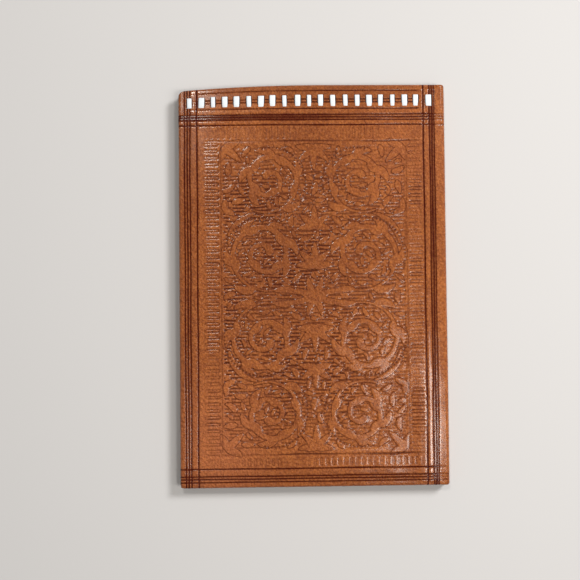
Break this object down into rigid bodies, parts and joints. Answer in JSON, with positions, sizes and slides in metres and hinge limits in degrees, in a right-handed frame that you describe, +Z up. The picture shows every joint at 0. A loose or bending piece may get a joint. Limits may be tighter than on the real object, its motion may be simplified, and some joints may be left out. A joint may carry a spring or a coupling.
{
  "type": "leather notebook cover",
  "caption": "Tooled tan leather cover for a pocket notebook, with a white lace along its top edge and a pocket inside each side; it opens flat about the two folds of its spine.",
  "frame": {"origin": "middle of the flat back face that the closed cover lies on", "axes": "+Z up through the closed cover, out of the tooled front face; +Y towards the laced top edge; +X towards the spine"},
  "size_m": [0.099, 0.1484, 0.0062],
  "materials": {
    "tooled_leather": "waxed, semi-gloss, blind embossed with dark ruled lines",
    "stiffener_board": "grey board, hidden",
    "lining_leather": "thin smooth natural lining leather",
    "pocket_leather": "thin smooth tan leather with a creased edge line",
    "lace": "flat white lace, slightly glossy"
  },
  "bodies": {
    "back_cover": {"back_leather": "tooled_leather", "back_stiffener": "stiffener_board", "back_lining": "lining_leather", "back_pocket": "pocket_leather", "back_lace": "lace"},
    "spine": {"spine_leather": "tooled_leather", "spine_lining": "lining_leather"},
    "front_cover": {"front_leather": "tooled_leather", "front_stiffener": "stiffener_board", "front_lining": "lining_leather", "front_pocket": "pocket_leather", "front_lace": "lace"}
  },
  "joints": [
    {"name": "spine_fold", "type": "hinge", "parent": "back_cover", "child": "spine", "pos_m": [0.04882, 0, 0.00068], "axis": [0, 1, 0], "range_deg": [0, 90]},
    {"name": "front_fold", "type": "hinge", "parent": "spine", "child": "front_cover", "pos_m": [0.04882, 0, 0.00552], "axis": [0, 1, 0], "range_deg": [0, 90]}
  ],
  "couplings": [
    {"joint": "front_fold", "follows": "spine_fold", "ratio": 1}
  ]
}
